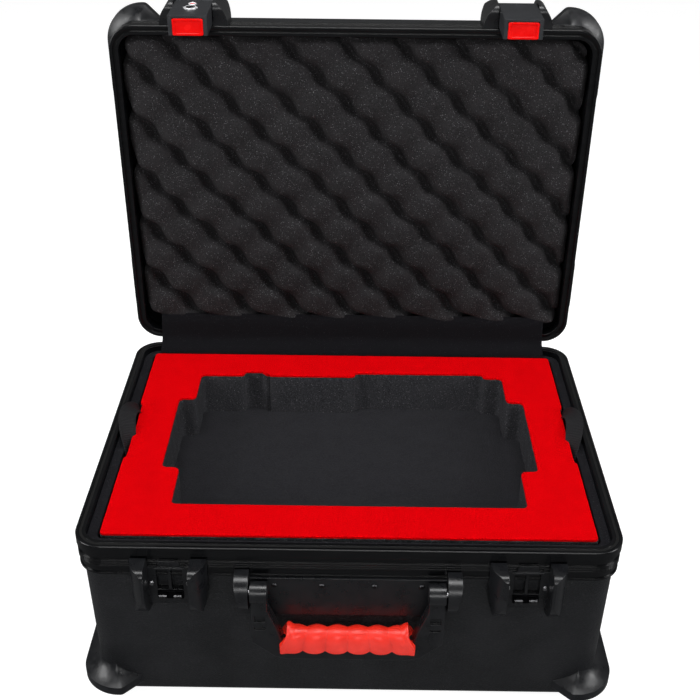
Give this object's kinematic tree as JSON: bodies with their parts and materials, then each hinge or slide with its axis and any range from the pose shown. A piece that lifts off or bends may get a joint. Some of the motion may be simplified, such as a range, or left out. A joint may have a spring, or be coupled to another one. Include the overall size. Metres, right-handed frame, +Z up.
{
  "type": "drone carrying case",
  "caption": "Hard carrying case for a drone: hinged lid with egg-crate foam, guarded push-release latches with a key lock, swinging handle, lift-out foam tray over a storage well.",
  "frame": {"origin": "on the floor, under the middle of the open case's overall box", "axes": "+Z up, -Y towards the front with the handle and latches, +X to the right seen from the front; the lid stands open at the back"},
  "size_m": [0.54, 0.473, 0.6099],
  "materials": {
    "abs_black": "satin",
    "abs_satin": "satin",
    "bumper_black": "satin",
    "rim_black": "satin",
    "rubber_black": "matte",
    "felt_charcoal": "matte",
    "foam_charcoal": "matte",
    "foam_red": "matte",
    "webbing_black": "matte",
    "steel_bright": "satin",
    "steel_black": "satin",
    "chrome_key": "polished",
    "red_plastic": "satin",
    "red_rubber": "satin"
  },
  "bodies": {
    "base": {"base_shell": "abs_black", "base_rim": "rim_black", "rim_seal": "rubber_black", "base_liner": "felt_charcoal", "lower_foam": "foam_charcoal", "base_bumper_front_left": "bumper_black", "base_bumper_front_right": "bumper_black", "base_bumper_back_left": "bumper_black", "base_bumper_back_right": "bumper_black", "keeper_left": "abs_satin", "keeper_right": "abs_satin", "keeper_rivets_left": "steel_bright", "keeper_rivets_right": "steel_bright", "striker_left": "steel_bright", "striker_right": "steel_bright", "handle_mount": "abs_satin", "handle_rivets": "steel_black", "handle_pins": "steel_bright", "base_hinge_leaf": "steel_black", "base_hinge_rivets": "steel_bright", "hinge_pin": "steel_bright", "hinge_cover_base": "felt_charcoal"},
    "lid": {"lid_shell": "abs_black", "lid_rim": "rim_black", "lid_bumper_front_left": "bumper_black", "lid_bumper_front_right": "bumper_black", "lid_bumper_back_left": "bumper_black", "lid_bumper_back_right": "bumper_black", "lid_foam": "foam_charcoal", "latch_housing_left": "abs_satin", "latch_housing_right": "abs_satin", "latch_pin_left": "steel_bright", "latch_pin_right": "steel_bright", "lid_hinge_leaf": "steel_black", "lid_hinge_rivets": "steel_bright", "hinge_cover_lid": "felt_charcoal"},
    "latch_arm_left": {"latch_arm_left": "abs_satin", "trigger_stop_left": "abs_satin", "lock_ring": "abs_satin", "lock_indicator": "red_plastic"},
    "latch_arm_right": {"latch_arm_right": "abs_satin", "trigger_stop_right": "abs_satin"},
    "trigger_left": {"latch_trigger_left": "red_plastic"},
    "trigger_right": {"latch_trigger_right": "red_plastic"},
    "key": {"key_cylinder": "chrome_key"},
    "handle": {"handle_bail": "abs_satin", "handle_grip": "red_rubber"},
    "tray": {"tray_floor": "foam_charcoal", "tray_foam": "foam_charcoal", "tray_top": "foam_red", "pull_strap_left": "webbing_black", "pull_strap_right": "webbing_black"}
  },
  "joints": [
    {"name": "lid_hinge", "type": "hinge", "parent": "base", "child": "lid", "pos_m": [0, 0.1723, 0.203], "axis": [-1, 0, 0], "range_deg": [-88.6, 0]},
    {"name": "latch_left_swing", "type": "hinge", "parent": "lid", "child": "latch_arm_left", "pos_m": [-0.169, 0.18204, 0.59866], "axis": [-1, 0, 0], "range_deg": [0, 90]},
    {"name": "latch_right_swing", "type": "hinge", "parent": "lid", "child": "latch_arm_right", "pos_m": [0.169, 0.18204, 0.59866], "axis": [-1, 0, 0], "range_deg": [0, 90]},
    {"name": "trigger_left_press", "type": "slide", "parent": "latch_arm_left", "child": "trigger_left", "axis": [0, 0.9997, 0.0244], "range_m": [0, 0.003], "stiffness_N_per_m": 200},
    {"name": "trigger_right_press", "type": "slide", "parent": "latch_arm_right", "child": "trigger_right", "axis": [0, 0.9997, 0.0244], "range_m": [0, 0.003], "stiffness_N_per_m": 200},
    {"name": "key_turn", "type": "hinge", "parent": "latch_arm_left", "child": "key", "pos_m": [-0.169, 0.14863, 0.60684], "axis": [0, -0.0244, 0.9997], "range_deg": [0, 90]},
    {"name": "handle_swing", "type": "hinge", "parent": "base", "child": "handle", "pos_m": [0, -0.223, 0.158], "axis": [-1, 0, 0], "range_deg": [0, 95]},
    {"name": "tray_lift", "type": "slide", "parent": "base", "child": "tray", "axis": [0, 0, 1], "range_m": [0, 0.12]}
  ]
}
